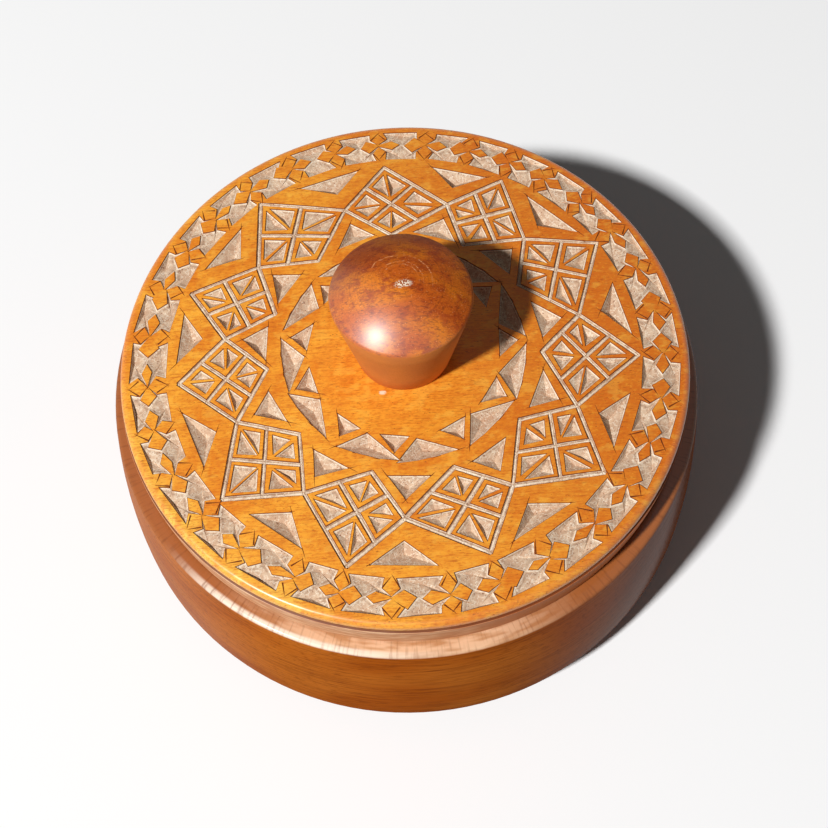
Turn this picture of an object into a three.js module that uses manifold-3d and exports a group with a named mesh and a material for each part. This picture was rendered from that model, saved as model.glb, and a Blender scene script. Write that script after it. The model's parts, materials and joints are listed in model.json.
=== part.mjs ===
// A turned round wooden box with a lift-off lid, chip-carved all over its top, and a knob.
// Millimetres, +Z up. The origin is the middle of the box's flat underside.
import * as THREE from "three";
import { mergeVertices } from "three/addons/utils/BufferGeometryUtils.js";
import Module from "manifold-3d";

const wasm = await Module();
wasm.setup();

// Box body
const boxHeight = 36;
const baseRadius = 45.3;
const bellyRadius = 54.3;
const bellyHeight = 10;
const rimRadius = 52.3;
const rimWidth = 5.4;
const wallThickness = 6.2;
const floorThickness = 6;
const hollowCornerRadius = 7;
const rimEdgeRadius = 0.5;

// Lid
const lidRadius = 50;
const lidSideHeight = 8.1;
const lidFlatRadius = 22.5;
const lidTopDrop = 1.7;
const lidUndersideRadius = 49.6;
const lidEdgeRadius = 1.1;
const lidFootEdge = 0.4;
const edgeGrooveDrop = 2;
const edgeGrooveWidth = 0.5;
const edgeGrooveDepth = 0.45;
const spigotLength = 4;
const spigotEdge = 0.6;
const spigotLandWidth = 3;
const dishDepth = 1.8;

// Knob
const knobBaseRadius = 8.3;
const knobHeadRadius = 11.8;
const knobSideHeight = 17.6;
const knobDomeHeight = 4.5;
const knobFootEdge = 0.4;
const knobHeadEdge = 0.25;
const tenonRadius = 4;
const tenonLength = 5;
const tenonEdge = 0.5;

// Clearances
const seatGap = 0.3;
const spigotClearance = 0.4;
const tenonClearance = 0.3;
const socketEndGap = 0.4;
const cutOverrun = 0.8;

// Ring of squares, each standing on a corner and touching the next at its side corners
const squareCount = 11;
const squareSideCornerRadius = 31.5;
const squareTipRadius = 40.2;
const squareHeelRadius = 24.1;
const firstSideCornerAngle = THREE.MathUtils.degToRad(173.3);
const grooveWidth = 0.85;
const grooveDepth = 0.6;
const paneBorderWidth = 0.75;
const ridgeWidth = 0.7;
const paneChipDepth = 0.75;

// Three-cornered chips outside and inside the ring of squares
const outerChipBaseRadius = 39.5;
const outerChipTipRadius = 35.2;
const outerChipHalfWidth = 6.4;
const outerChipDepth = 1.3;
const innerChipBaseRadius = 24;
const innerChipTipRadius = 27.7;
const innerChipHalfWidth = 3.5;
const innerChipDepth = 1.1;

// Zigzag round the plain middle: long chips pointing in, short chips pointing out
const zigzagOuterRadius = 21.1;
const zigzagInnerRadius = 16.6;
const shortChipTipRadius = 19.3;
const longChipDepth = 1.2;
const shortChipDepth = 0.9;

// Border band, its cells meeting at crossings on one circle
const bandCellCount = 32;
const bandCentreRadius = 44.95;
const bandOuterRadius = 48;
const bandInnerRadius = 41.5;
const bandDepth = 0.85;
const firstCrossingAngle = THREE.MathUtils.degToRad(5.625);
const lozengeHalfHeight = 1.1;

// Facets round each turned piece, and steps along each curve of a profile
const facetsAround = 64;
const knobFacetsAround = 48;
const curveSteps = 3;
const lidCurveSteps = 2;

// Places of a chip's corners round the ring, in shares of the step from one square to the next
const longChipShares = { start: -0.165, tip: 0.14, end: 0.715 };
const shortChipShares = { start: -0.49, tip: -0.19, end: 0.01 };

// How far along a chip, from its base to its tip, its deepest point lies
const deepestShare = 0.62;

// One half of a band cell, as shares of the cell's length and of the half band's height:
// the crossing at each end, the tops of the lozenge and of the kite, the point where the
// two meet, the side corner of the diamond on the crossing, and the end of its top.
const cellShares = {
  crossing: 0.035,
  lozengeTop: 0.27,
  meeting: 0.49,
  meetingHeight: 0.04,
  kiteTop: 0.68,
  diamondCorner: 0.15,
  diamondCornerHeight: 0.52,
  diamondTop: 0.03,
  deepest: 0.5,
  deepestHeight: 0.8,
};

// Levels and radii that follow from the sizes above
const mouthRadius = rimRadius - rimWidth;
const hollowRadius = bellyRadius - wallThickness;
const lidSeatZ = boxHeight + seatGap;
const lidEdgeZ = lidSeatZ + lidSideHeight;
const lidTopZ = lidEdgeZ + lidTopDrop;
const rollRadius = lidRadius - lidEdgeRadius;
const spigotRadius = mouthRadius - spigotClearance;
const knobSeatZ = lidTopZ + seatGap;
const socketRadius = tenonRadius + tenonClearance;
const socketFloorZ = knobSeatZ - tenonLength - socketEndGap;

// The height of the lid's top at a distance from the axis: flat in the middle, then
// falling gently to the rolled edge.
function lidSurfaceZ(radius) {
  const share = THREE.MathUtils.inverseLerp(lidFlatRadius, rollRadius, radius);
  return lidTopZ - lidTopDrop * Math.max(share, 0);
}

// A point on the lid's top.
function onLid(radius, angle) {
  return new THREE.Vector3(radius * Math.cos(angle), radius * Math.sin(angle), lidSurfaceZ(radius));
}

// The same point of the plan, moved up or down to lie over the lid's top by a height.
function setOverLid(point, height) {
  return point.clone().setZ(lidSurfaceZ(Math.hypot(point.x, point.y)) + height);
}

// A turned solid from a profile of radius against height that starts and ends on the axis.
function turned(profile, facets, steps) {
  const points = profile.getPoints(steps);
  return new THREE.LatheGeometry(points, facets).rotateX(Math.PI / 2);
}

// A closed geometry as a solid that can be cut and joined.
function toSolid(geometry) {
  const bare = geometry.clone();
  bare.deleteAttribute("normal");
  bare.deleteAttribute("uv");
  const merged = mergeVertices(bare);
  return new wasm.Manifold(
    new wasm.Mesh({
      numProp: 3,
      vertProperties: merged.attributes.position.array,
      triVerts: new Uint32Array(merged.index.array),
    }),
  );
}

// A solid back as a geometry, with flat facets.
function toGeometry(solid) {
  const mesh = solid.getMesh();
  const geometry = new THREE.BufferGeometry();
  geometry.setAttribute("position", new THREE.BufferAttribute(mesh.vertProperties, 3));
  geometry.setIndex(new THREE.BufferAttribute(mesh.triVerts, 1));
  const faceted = geometry.toNonIndexed();
  faceted.computeVertexNormals();
  return faceted;
}

// The middle of a list of points.
function middleOf(points) {
  const sum = points.reduce((total, point) => total.add(point), new THREE.Vector3());
  return sum.divideScalar(points.length);
}

// A cone or prism one unit in size, with its upper and lower corners moved onto two lists
// of points, both anticlockwise, seen from above.
function drawnOver(unitSolid, tops, bottoms) {
  const position = unitSolid.attributes.position;
  const middle = middleOf(bottoms);
  const corner = new THREE.Vector3();
  for (let i = 0; i < position.count; i++) {
    corner.fromBufferAttribute(position, i);
    const places = corner.y > 0 ? tops : bottoms;
    const turn = Math.atan2(corner.x, corner.z) / (2 * Math.PI);
    const place = places.at(Math.round(turn * places.length) % places.length);
    const isOnAxis = Math.hypot(corner.x, corner.z) < 1 / 2;
    position.setXYZ(i, ...(isOnAxis ? middle.setZ(middleOf(places).z) : place));
  }
  return toSolid(unitSolid);
}

// A knife pit: a flat side runs down from each edge of the outline to one deepest point.
// The sides are carried on up past the surface, to cut it cleanly.
function pit(outline, deepest) {
  const cone = new THREE.ConeGeometry(1, 1, outline.length);
  const tops = outline.map((corner) => {
    const slope = corner.clone().sub(deepest);
    return slope.multiplyScalar(1 + cutOverrun / slope.z).add(deepest);
  });
  return drawnOver(cone.rotateZ(Math.PI), tops, [deepest]);
}

// A three-cornered chip whose base, from start to end, bends with the ring at its middle.
function chip(start, baseMiddle, end, tip, depth) {
  const deepest = setOverLid(baseMiddle.clone().lerp(tip, deepestShare), -depth);
  return pit([start, baseMiddle, end, tip], deepest);
}

// A corner of an outline moved in until it lies the same distance inside both its edges.
function insetCorner(before, corner, after, distance) {
  const toBefore = before.clone().sub(corner).setZ(0).normalize();
  const toAfter = after.clone().sub(corner).setZ(0).normalize();
  const halfAngle = toBefore.angleTo(toAfter) / 2;
  const inwards = toBefore.add(toAfter).normalize();
  return corner.clone().addScaledVector(inwards, distance / Math.sin(halfAngle));
}

// Every corner of an outline moved in by a distance, or out by a negative one, and then
// set over the lid by a height.
function insetOutline(outline, distance, height) {
  return outline.map((corner, i) => {
    const after = outline[(i + 1) % outline.length];
    return setOverLid(insetCorner(outline.at(i - 1), corner, after, distance), height);
  });
}

// A prism over an outline whose sides spread by half a groove's width in a groove's
// depth: upwards for the groove's outer walls, downwards for what stands inside it.
// It runs past the lid's surface and past the groove's bottom by the overrun.
function tapered(outline, spread, overrun) {
  const prism = new THREE.CylinderGeometry(1, 1, 1, outline.length);
  const run = (grooveWidth / 2) * (overrun / grooveDepth);
  const tops = insetOutline(outline, -spread * (run + grooveWidth / 2), overrun);
  const bottoms = insetOutline(outline, spread * run, -grooveDepth - overrun);
  return drawnOver(prism, tops, bottoms);
}

// The two chips in one pane of a square, either side of the ridge that runs from the
// square's middle to its outer corner.
function paneChips(pane) {
  const [middle, sideA, corner, sideB] = insetOutline(pane, grooveWidth / 2 + paneBorderWidth, 0);
  const along = corner.clone().sub(middle).setZ(0).normalize();
  const sideways = new THREE.Vector3(-along.y, along.x, 0);
  const endShare = ridgeWidth / corner.distanceTo(middle);
  return [sideA, sideB].map((side, i) => {
    const shift = ((i === 0 ? -1 : 1) * ridgeWidth) / 2;
    const near = middle.clone().lerp(corner, endShare).addScaledVector(sideways, shift);
    const far = corner.clone().lerp(middle, endShare).addScaledVector(sideways, shift);
    const outline = i === 0 ? [near, side, far] : [far, side, near];
    return pit(outline, setOverLid(middleOf(outline), -paneChipDepth));
  });
}

// One carved square: a groove round it and a groove each way across it, which leave four
// panes standing, and the chips cut into the panes.
function square(startAngle, step) {
  const corners = [
    onLid(squareHeelRadius, startAngle + step / 2),
    onLid(squareSideCornerRadius, startAngle),
    onLid(squareTipRadius, startAngle + step / 2),
    onLid(squareSideCornerRadius, startAngle + step),
  ];
  const edgeMiddles = corners.map((corner, i) => middleOf([corner, corners[(i + 1) % corners.length]]));
  const middle = middleOf(corners);
  const panes = corners.map((corner, i) => [middle, edgeMiddles.at(i - 1), corner, edgeMiddles[i]]);
  const whole = tapered(corners, 1, cutOverrun);
  const grooves = panes.reduce((left, pane) => left.subtract(tapered(pane, -1, 2 * cutOverrun)), whole);
  return [grooves, ...panes.flatMap((pane) => paneChips(pane))];
}

// The chips that fill the gaps outside and inside the corner where two squares touch.
function gapChips(angle) {
  const outerSpread = Math.asin(outerChipHalfWidth / outerChipBaseRadius);
  const innerSpread = Math.asin(innerChipHalfWidth / innerChipBaseRadius);
  return [
    chip(
      onLid(outerChipBaseRadius, angle - outerSpread),
      onLid(outerChipBaseRadius, angle),
      onLid(outerChipBaseRadius, angle + outerSpread),
      onLid(outerChipTipRadius, angle),
      outerChipDepth,
    ),
    chip(
      onLid(innerChipBaseRadius, angle + innerSpread),
      onLid(innerChipBaseRadius, angle),
      onLid(innerChipBaseRadius, angle - innerSpread),
      onLid(innerChipTipRadius, angle),
      innerChipDepth,
    ),
  ];
}

// One long chip and one short chip of the zigzag round the plain middle.
function zigzagChips(angle, step) {
  const chipOf = (shares, baseRadius, tipRadius, depth) => {
    const places = [shares.start, (shares.start + shares.end) / 2, shares.end];
    const base = places.map((share) => onLid(baseRadius, angle + share * step));
    const tip = onLid(tipRadius, angle + shares.tip * step);
    if (tipRadius > baseRadius) base.reverse();
    return chip(...base, tip, depth);
  };
  return [
    chipOf(longChipShares, zigzagOuterRadius, zigzagInnerRadius, longChipDepth),
    chipOf(shortChipShares, zigzagInnerRadius, shortChipTipRadius, shortChipDepth),
  ];
}

// The pocket of one half of a band cell: outside the circle of crossings when height is
// positive, inside it when height is negative. The pockets leave standing a lozenge and a
// kite in each cell and a diamond on each side of every crossing.
function bandPocket(angle, step, height) {
  const low = Math.sign(height) * lozengeHalfHeight;
  const at = (share, rise) => onLid(bandCentreRadius + rise, angle + share * step);
  const shares = cellShares;
  const outline = [
    at(shares.crossing, 0),
    at(shares.diamondCorner, shares.diamondCornerHeight * height),
    at(shares.diamondTop, height),
    at(1 - shares.diamondTop, height),
    at(1 - shares.diamondCorner, shares.diamondCornerHeight * height),
    at(1 - shares.crossing, 0),
    at(shares.kiteTop, low),
    at(shares.meeting, shares.meetingHeight * height),
    at(shares.lozengeTop, low),
  ];
  if (height < 0) outline.reverse();
  return pit(outline, setOverLid(at(shares.deepest, shares.deepestHeight * height), -bandDepth));
}

// Every cut of the lid's carving.
function carving() {
  const cuts = [];
  const squareStep = (2 * Math.PI) / squareCount;
  for (let i = 0; i < squareCount; i++) {
    const angle = firstSideCornerAngle + i * squareStep;
    cuts.push(...square(angle, squareStep), ...gapChips(angle), ...zigzagChips(angle, squareStep));
  }
  const cellStep = (2 * Math.PI) / bandCellCount;
  for (let i = 0; i < bandCellCount; i++) {
    const angle = firstCrossingAngle + i * cellStep;
    cuts.push(bandPocket(angle, cellStep, bandOuterRadius - bandCentreRadius));
    cuts.push(bandPocket(angle, cellStep, bandInnerRadius - bandCentreRadius));
  }
  return cuts;
}

// The box: a bellied wall on a flat base, rounded in at the foot, hollow, with a flat rim.
function boxBody() {
  const profile = new THREE.Path();
  profile.moveTo(0, 0);
  profile.lineTo(baseRadius, 0);
  profile.absellipse(
    baseRadius, bellyHeight, bellyRadius - baseRadius, bellyHeight, -Math.PI / 2, 0, false,
  );
  profile.quadraticCurveTo(
    bellyRadius, (bellyHeight + boxHeight) / 2, rimRadius, boxHeight - rimEdgeRadius,
  );
  profile.lineTo(rimRadius - rimEdgeRadius, boxHeight);
  profile.lineTo(mouthRadius + rimEdgeRadius, boxHeight);
  profile.lineTo(mouthRadius, boxHeight - rimEdgeRadius);
  profile.lineTo(mouthRadius, lidSeatZ - spigotLength);
  profile.quadraticCurveTo(
    hollowRadius, (lidSeatZ - spigotLength + bellyHeight) / 2, hollowRadius, bellyHeight,
  );
  profile.absellipse(
    hollowRadius - hollowCornerRadius, bellyHeight,
    hollowCornerRadius, bellyHeight - floorThickness, 0, -Math.PI / 2, true,
  );
  profile.lineTo(0, floorThickness);
  return turned(profile, facetsAround, curveSteps);
}

// The lid before carving: a disc with a gently sloped top, a rolled edge with one fine
// groove under it, a spigot with a dished underside, and a blind socket for the tenon.
function lidBlank() {
  const profile = new THREE.Path();
  const dishEdgeRadius = spigotRadius - spigotLandWidth;
  const spigotEndZ = lidSeatZ - spigotLength;
  profile.moveTo(0, spigotEndZ + dishDepth);
  profile.quadraticCurveTo(dishEdgeRadius / 2, spigotEndZ + dishDepth, dishEdgeRadius, spigotEndZ);
  profile.lineTo(spigotRadius - spigotEdge, spigotEndZ);
  profile.lineTo(spigotRadius, spigotEndZ + spigotEdge);
  profile.lineTo(spigotRadius, lidSeatZ);
  profile.lineTo(lidUndersideRadius - lidFootEdge, lidSeatZ);
  profile.lineTo(lidUndersideRadius, lidSeatZ + lidFootEdge);
  const grooveZ = lidEdgeZ - edgeGrooveDrop;
  profile.lineTo(lidRadius, grooveZ - edgeGrooveWidth / 2);
  profile.lineTo(lidRadius - edgeGrooveDepth, grooveZ);
  profile.lineTo(lidRadius, grooveZ + edgeGrooveWidth / 2);
  profile.lineTo(lidRadius, lidEdgeZ - lidEdgeRadius);
  profile.absarc(rollRadius, lidEdgeZ - lidEdgeRadius, lidEdgeRadius, 0, Math.PI / 2, false);
  profile.lineTo(lidFlatRadius, lidTopZ);
  profile.lineTo(socketRadius, lidTopZ);
  profile.lineTo(socketRadius, socketFloorZ);
  profile.lineTo(0, socketFloorZ);
  return turned(profile, facetsAround, lidCurveSteps);
}

// The carved lid.
function lid() {
  const cuts = carving().reduce((all, cut) => all.add(cut));
  return toGeometry(toSolid(lidBlank()).subtract(cuts));
}

// The knob: a cone widening up to a crisp edge, a low domed head, and a tenon below.
function knob() {
  const profile = new THREE.Path();
  const headZ = knobSeatZ + knobSideHeight;
  profile.moveTo(0, knobSeatZ - tenonLength);
  profile.lineTo(tenonRadius - tenonEdge, knobSeatZ - tenonLength);
  profile.lineTo(tenonRadius, knobSeatZ - tenonLength + tenonEdge);
  profile.lineTo(tenonRadius, knobSeatZ);
  profile.lineTo(knobBaseRadius - knobFootEdge, knobSeatZ);
  profile.lineTo(knobBaseRadius, knobSeatZ + knobFootEdge);
  profile.lineTo(knobHeadRadius, headZ - knobHeadEdge);
  profile.lineTo(knobHeadRadius, headZ);
  const domeRadius = (knobHeadRadius ** 2 + knobDomeHeight ** 2) / (2 * knobDomeHeight);
  const domeEdgeAngle = Math.acos(knobHeadRadius / domeRadius);
  profile.absarc(0, headZ + knobDomeHeight - domeRadius, domeRadius, domeEdgeAngle, Math.PI / 2, false);
  return turned(profile, knobFacetsAround, curveSteps);
}

// One named piece of the box, with its wood.
function piece(name, geometry, color, roughness) {
  const wood = new THREE.MeshStandardMaterial({ color, roughness, metalness: 0 });
  const mesh = new THREE.Mesh(geometry, wood);
  mesh.name = name;
  return mesh;
}

const box = new THREE.Group();
box.add(
  piece("box_body", boxBody(), "#9a5416", 0.35),
  piece("lid", lid(), "#d98418", 0.45),
  piece("knob", knob(), "#a5501c", 0.3),
);

export default box;
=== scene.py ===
import json
import math
import random

import bmesh
import bpy
from mathutils import Euler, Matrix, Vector

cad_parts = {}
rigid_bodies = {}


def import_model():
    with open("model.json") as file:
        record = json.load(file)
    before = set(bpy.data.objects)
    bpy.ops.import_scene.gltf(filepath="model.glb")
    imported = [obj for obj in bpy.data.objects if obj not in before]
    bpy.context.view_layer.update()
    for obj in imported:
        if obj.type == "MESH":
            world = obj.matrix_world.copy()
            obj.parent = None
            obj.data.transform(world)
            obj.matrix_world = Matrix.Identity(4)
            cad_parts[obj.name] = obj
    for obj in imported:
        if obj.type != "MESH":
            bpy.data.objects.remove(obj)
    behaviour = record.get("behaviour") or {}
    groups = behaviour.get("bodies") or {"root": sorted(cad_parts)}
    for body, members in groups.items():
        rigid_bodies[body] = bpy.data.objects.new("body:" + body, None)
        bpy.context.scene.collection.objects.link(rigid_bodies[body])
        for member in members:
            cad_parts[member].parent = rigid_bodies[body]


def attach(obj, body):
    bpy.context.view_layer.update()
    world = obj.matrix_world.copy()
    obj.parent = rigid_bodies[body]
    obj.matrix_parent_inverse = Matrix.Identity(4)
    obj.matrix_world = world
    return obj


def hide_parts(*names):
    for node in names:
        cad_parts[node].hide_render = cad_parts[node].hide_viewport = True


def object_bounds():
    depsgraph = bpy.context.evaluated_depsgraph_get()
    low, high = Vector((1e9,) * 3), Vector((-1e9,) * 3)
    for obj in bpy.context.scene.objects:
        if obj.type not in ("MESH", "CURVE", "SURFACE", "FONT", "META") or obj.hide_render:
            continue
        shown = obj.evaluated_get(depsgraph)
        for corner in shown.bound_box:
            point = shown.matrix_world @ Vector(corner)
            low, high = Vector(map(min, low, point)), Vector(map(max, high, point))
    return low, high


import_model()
cadLow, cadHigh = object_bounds()
print("packed model loaded")

mm = 0.001

# patterns that run round a turned piece have their true size at this radius in mm
wrapRadius = 50


# shaping: what the turned pieces and the cutters share

def deselectAll():
    if bpy.context.object and bpy.context.object.mode != "OBJECT":
        bpy.ops.object.mode_set(mode="OBJECT")
    bpy.ops.object.select_all(action="DESELECT")


def choose(piece):
    deselectAll()
    piece.select_set(True)
    bpy.context.view_layer.objects.active = piece


def selectNone():
    bpy.ops.mesh.select_all(action="DESELECT")


# rings: (radius, height) in mm, from underneath, up the outside and back in, closed at both ends
def turnPiece(name, rings, sides):
    deselectAll()
    radius, height = rings[0]
    bpy.ops.mesh.primitive_circle_add(vertices=sides, radius=radius * mm, fill_type="NGON")
    piece = bpy.context.object
    piece.name = name
    bpy.ops.object.mode_set(mode="EDIT")
    bpy.ops.mesh.select_all(action="SELECT")
    bpy.ops.transform.translate(value=(0, 0, height * mm))
    for nextRadius, nextHeight in rings[1:]:
        rise = (nextHeight - height) * mm
        bpy.ops.mesh.extrude_region_move(TRANSFORM_OT_translate={"value": (0, 0, rise)})
        growth = nextRadius / radius
        bpy.ops.transform.resize(value=(growth, growth, 1), center_override=(0, 0, 0))
        radius, height = nextRadius, nextHeight
    bpy.ops.mesh.select_all(action="SELECT")
    bpy.ops.mesh.normals_make_consistent(inside=False)
    bpy.ops.object.mode_set(mode="OBJECT")
    return piece


# rings on an arc about a centre, from one angle to another in degrees
def arcRings(centreRadius, centreHeight, across, up, start, end, steps):
    rings = []
    for i in range(steps + 1):
        angle = math.radians(start + (end - start) * i / steps)
        rings.append((centreRadius + across * math.cos(angle), centreHeight + up * math.sin(angle)))
    return rings


# rings on a curve from the start to the end, drawn towards the control point
def curveRings(start, control, end, steps):
    rings = []
    for i in range(1, steps + 1):
        t = i / steps
        shares = ((1 - t) ** 2, 2 * t * (1 - t), t ** 2)
        points = zip(start, control, end)
        rings.append(tuple(sum(s * p for s, p in zip(shares, places)) for places in points))
    return rings


# edges sharper than the angle in degrees stay crisp, and the rest is shaded smooth
def dressPiece(piece, body, node, finish, sharpAngle):
    choose(piece)
    bpy.ops.object.shade_smooth_by_angle(angle=math.radians(sharpAngle))
    piece.data.materials.clear()
    piece.data.materials.append(finish)
    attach(piece, body)
    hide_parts(node)


# finishes: sums on values add Math nodes, every other node comes from Finish.add

def colour(red, green, blue):
    # screen levels from 0 to 255, as the linear shares that Blender works in
    levels = [level / 255 for level in (red, green, blue)]
    return (*[s / 12.92 if s < 0.04045 else ((s + 0.055) / 1.055) ** 2.4 for s in levels], 1)


class Value:
    def __init__(self, finish, socket):
        self.finish = finish
        self.socket = socket

    def math(self, operation, first, second):
        return self.finish.add("ShaderNodeMath", {"operation": operation}, {0: first, 1: second})

    def __add__(self, other):
        return self.math("ADD", self, other)

    def __radd__(self, other):
        return self.math("ADD", other, self)

    def __sub__(self, other):
        return self.math("SUBTRACT", self, other)

    def __rsub__(self, other):
        return self.math("SUBTRACT", other, self)

    def __mul__(self, other):
        return self.math("MULTIPLY", self, other)

    def __rmul__(self, other):
        return self.math("MULTIPLY", other, self)

    def __truediv__(self, other):
        return self.math("DIVIDE", self, other)

    def __pow__(self, other):
        return self.math("POWER", self, other)


class Finish:
    def __init__(self, owner, looks):
        owner.use_nodes = True
        self.owner = owner
        self.looks = looks
        self.tree = owner.node_tree
        self.tree.nodes.clear()

    def add(self, kind, settings=None, values=None, output=0):
        node = self.tree.nodes.new(kind)
        for name, setting in (settings or {}).items():
            setattr(node, name, setting)
        for name, value in (values or {}).items():
            if isinstance(value, Value):
                self.tree.links.new(value.socket, node.inputs[name])
            else:
                node.inputs[name].default_value = value
        return Value(self, node.outputs[output]) if node.outputs else None

    # where a point lies on the piece in mm, how far from the axis and how far round it
    def locate(self):
        metres = self.add("ShaderNodeTexCoord", output="Object")
        scaling = {0: metres, "Scale": 1 / mm}
        self.place = self.add("ShaderNodeVectorMath", {"operation": "SCALE"}, scaling)
        parts = [self.add("ShaderNodeSeparateXYZ", None, {0: self.place}, axis) for axis in range(3)]
        self.x, self.y, self.z = parts
        self.radius = (self.x * self.x + self.y * self.y) ** 0.5
        turn = self.add("ShaderNodeMath", {"operation": "ARCTAN2"}, {0: self.y, 1: self.x})
        self.around = turn * wrapRadius
        patterns = self.looks["patterns"].items()
        self.patterns = {name: self.noise(self.place, **values) for name, values in patterns}

    def joined(self, x, y, z):
        return self.add("ShaderNodeCombineXYZ", None, {0: x, 1: y, 2: z})

    # goes smoothly from 0 at the low end to 1 at the high end, whichever way round they are
    def fade(self, value, low, high):
        ends = {"Value": value, "From Min": low, "From Max": high}
        return self.add("ShaderNodeMapRange", {"interpolation_type": "SMOOTHSTEP"}, ends)

    # the same with its ends looked up by name, in mm from a size of the piece where there is one
    def fadeBy(self, value, name, size=0):
        return self.fade(value, *[size + end for end in self.looks[name]])

    # one outwards from a radius and one upwards from a height, together
    def band(self, radius, out, height, up):
        return self.fadeBy(self.radius, out, radius) * self.fadeBy(self.z, up, height)

    # 1 on a part of the piece in plan and 0 off it. Each row is one side of the part: the shares
    # of x and y that point into it, and where along them it starts and where it is full, in mm.
    def region(self, name):
        inside = 1
        for acrossX, acrossY, start, full in self.looks[name]:
            inside = inside * self.fade(self.x * acrossX + self.y * acrossY, start, full)
        return inside

    def mix(self, share, first, second):
        return self.add("ShaderNodeMix", {"data_type": "RGBA"}, {0: share, 6: first, 7: second}, 2)

    # noise with cells of about the given size in mm each way, turned about the upright axis
    def noise(self, place, size, turn=0, detail=2, roughness=0.5, seed=0):
        values = {"Vector": place, "Scale": size, "Location": (seed, -seed, seed)}
        values["Rotation"] = (0, 0, math.radians(turn))
        scaled = self.add("ShaderNodeMapping", {"vector_type": "TEXTURE"}, values)
        drawing = {"Vector": scaled, "Scale": 1, "Detail": detail, "Roughness": roughness}
        return self.add("ShaderNodeTexNoise", None, drawing)

    # each row: a pattern, the levels that the stain starts and is full at, its cover and its colour
    def stain(self, base, rows):
        for name, start, full, cover, tint in self.looks[rows]:
            stained = self.fade(self.patterns[name], start, full) * cover
            base = self.mix(stained, base, self.looks[tint])
        return base

    # how far a pattern is over or under its middle level
    def swing(self, name):
        return self.patterns[name] - 0.5

    def bump(self, height, distance, strength, normal=None):
        values = {"Height": height, "Distance": distance * mm, "Strength": strength}
        if normal:
            values["Normal"] = normal
        return self.add("ShaderNodeBump", None, values)

    def surface(self, fixed, varying):
        shader = self.add("ShaderNodeBsdfPrincipled", None, {**fixed, **varying})
        self.add("ShaderNodeOutputMaterial", None, {"Surface": shader})
        return self.owner


# camera, at the photograph's viewing angle

cameraSetup = {
    "location": (0, -116.33, 253.77),
    "aim": (1.104, -11.916, 44.3),
    "roll": -2.654,
    "lens": 59.58,
    "sensor": 36,
    "nearest": 10,
}


def placeCamera(setup):
    deselectAll()
    location = Vector(setup["location"]) * mm
    way = (Vector(setup["aim"]) * mm - location).to_track_quat("-Z", "Y")
    roll = Euler((0, 0, math.radians(setup["roll"]))).to_quaternion()
    bpy.ops.object.camera_add(location=location, rotation=(way @ roll).to_euler())
    camera = bpy.context.object
    camera.data.lens = setup["lens"]
    camera.data.sensor_width = setup["sensor"]
    camera.data.clip_start = setup["nearest"] * mm
    bpy.context.scene.camera = camera


placeCamera(cameraSetup)
print("camera placed")


# box

boxSizes = {
    "sides": 128, "baseRadius": 45.3,
    "bellySkin": 0.03,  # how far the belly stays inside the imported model
    "bellyHeight": 10, "rimRadius": 52.3, "height": 36, "rimEdge": 0.7, "rimEdgeStart": 15,
    "mouthRadius": 46.9, "stepHeight": 32.3, "hollowRadius": 48.1, "cornerRadius": 7,
    "cornerStart": -10, "floorHeight": 6, "capRadius": 6, "baseRingShare": 0.6,
    "floorRingShare": 0.5,
    "steps": {"foot": 14, "side": 10, "edge": 5, "hollow": 6, "corner": 8},
    "sharpAngle": 35,
}


def boxRings(sizes):
    steps = sizes["steps"]
    base = sizes["baseRadius"]
    belly = cadHigh[0] / mm - sizes["bellySkin"]
    bellyHeight = sizes["bellyHeight"]
    edge = sizes["rimEdge"]
    edgeHeight = sizes["height"] - edge
    rimFoot = (sizes["rimRadius"], edgeHeight)
    mouth = sizes["mouthRadius"]
    step = (mouth, sizes["stepHeight"])
    hollow = sizes["hollowRadius"]
    corner = sizes["cornerRadius"]
    floor = sizes["floorHeight"]
    sideMiddle = (belly, (bellyHeight + edgeHeight) / 2)
    hollowMiddle = (hollow, (sizes["stepHeight"] + bellyHeight) / 2)
    rings = [(sizes["capRadius"], 0), (base * sizes["baseRingShare"], 0)]
    rings += arcRings(base, bellyHeight, belly - base, bellyHeight, -90, 0, steps["foot"])
    rings += curveRings((belly, bellyHeight), sideMiddle, rimFoot, steps["side"])
    rings += arcRings(
        sizes["rimRadius"] - edge, edgeHeight, edge, edge, sizes["rimEdgeStart"], 90, steps["edge"]
    )
    rings += arcRings(mouth + edge, edgeHeight, edge, edge, 90, 180, steps["edge"])
    rings += [step]
    rings += curveRings(step, hollowMiddle, (hollow, bellyHeight), steps["hollow"])
    rings += arcRings(
        hollow - corner, bellyHeight, corner, bellyHeight - floor,
        sizes["cornerStart"], -90, steps["corner"],
    )
    rings += [(hollow * sizes["floorRingShare"], floor), (sizes["capRadius"], floor)]
    return rings


boxPiece = turnPiece("turnedBox", boxRings(boxSizes), boxSizes["sides"])
print("box turned")


# lid

lidSizes = {
    "sides": 160, "spigotClearance": 0.4, "seatGap": 0.3, "spigotLength": 4,
    "spigotEdge": 0.6, "dishRadius": 43.5, "dishDepth": 1.8,
    "dishShares": (0.06, 0.25, 0.45, 0.65, 0.85, 1), "undersideRadius": 49.6,
    "footEdge": 0.4, "radius": 49.98, "sideTaper": 0.15, "sideTaperDrop": 3,
    "grooveHeight": 42.4, "grooveHalfWidth": 0.28, "grooveDepth": 0.5, "rollRadius": 48.6,
    "rollHeight": 43.3, "rollSize": 1.1, "rollInset": 0.28, "rollSteps": 8,
    "topHeight": 46.1, "topDrop": 1.7, "domePower": 2.4, "domeRings": 24,
    "socketRadius": 4.3, "socketFloor": 41, "capRadius": 2, "sharpAngle": 25,
}


# the lid's top is a shallow dome that falls faster towards the edge
def domeHeight(radius):
    drop = lidSizes["topDrop"] * (radius / lidSizes["rollRadius"]) ** lidSizes["domePower"]
    return lidSizes["topHeight"] - drop


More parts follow.
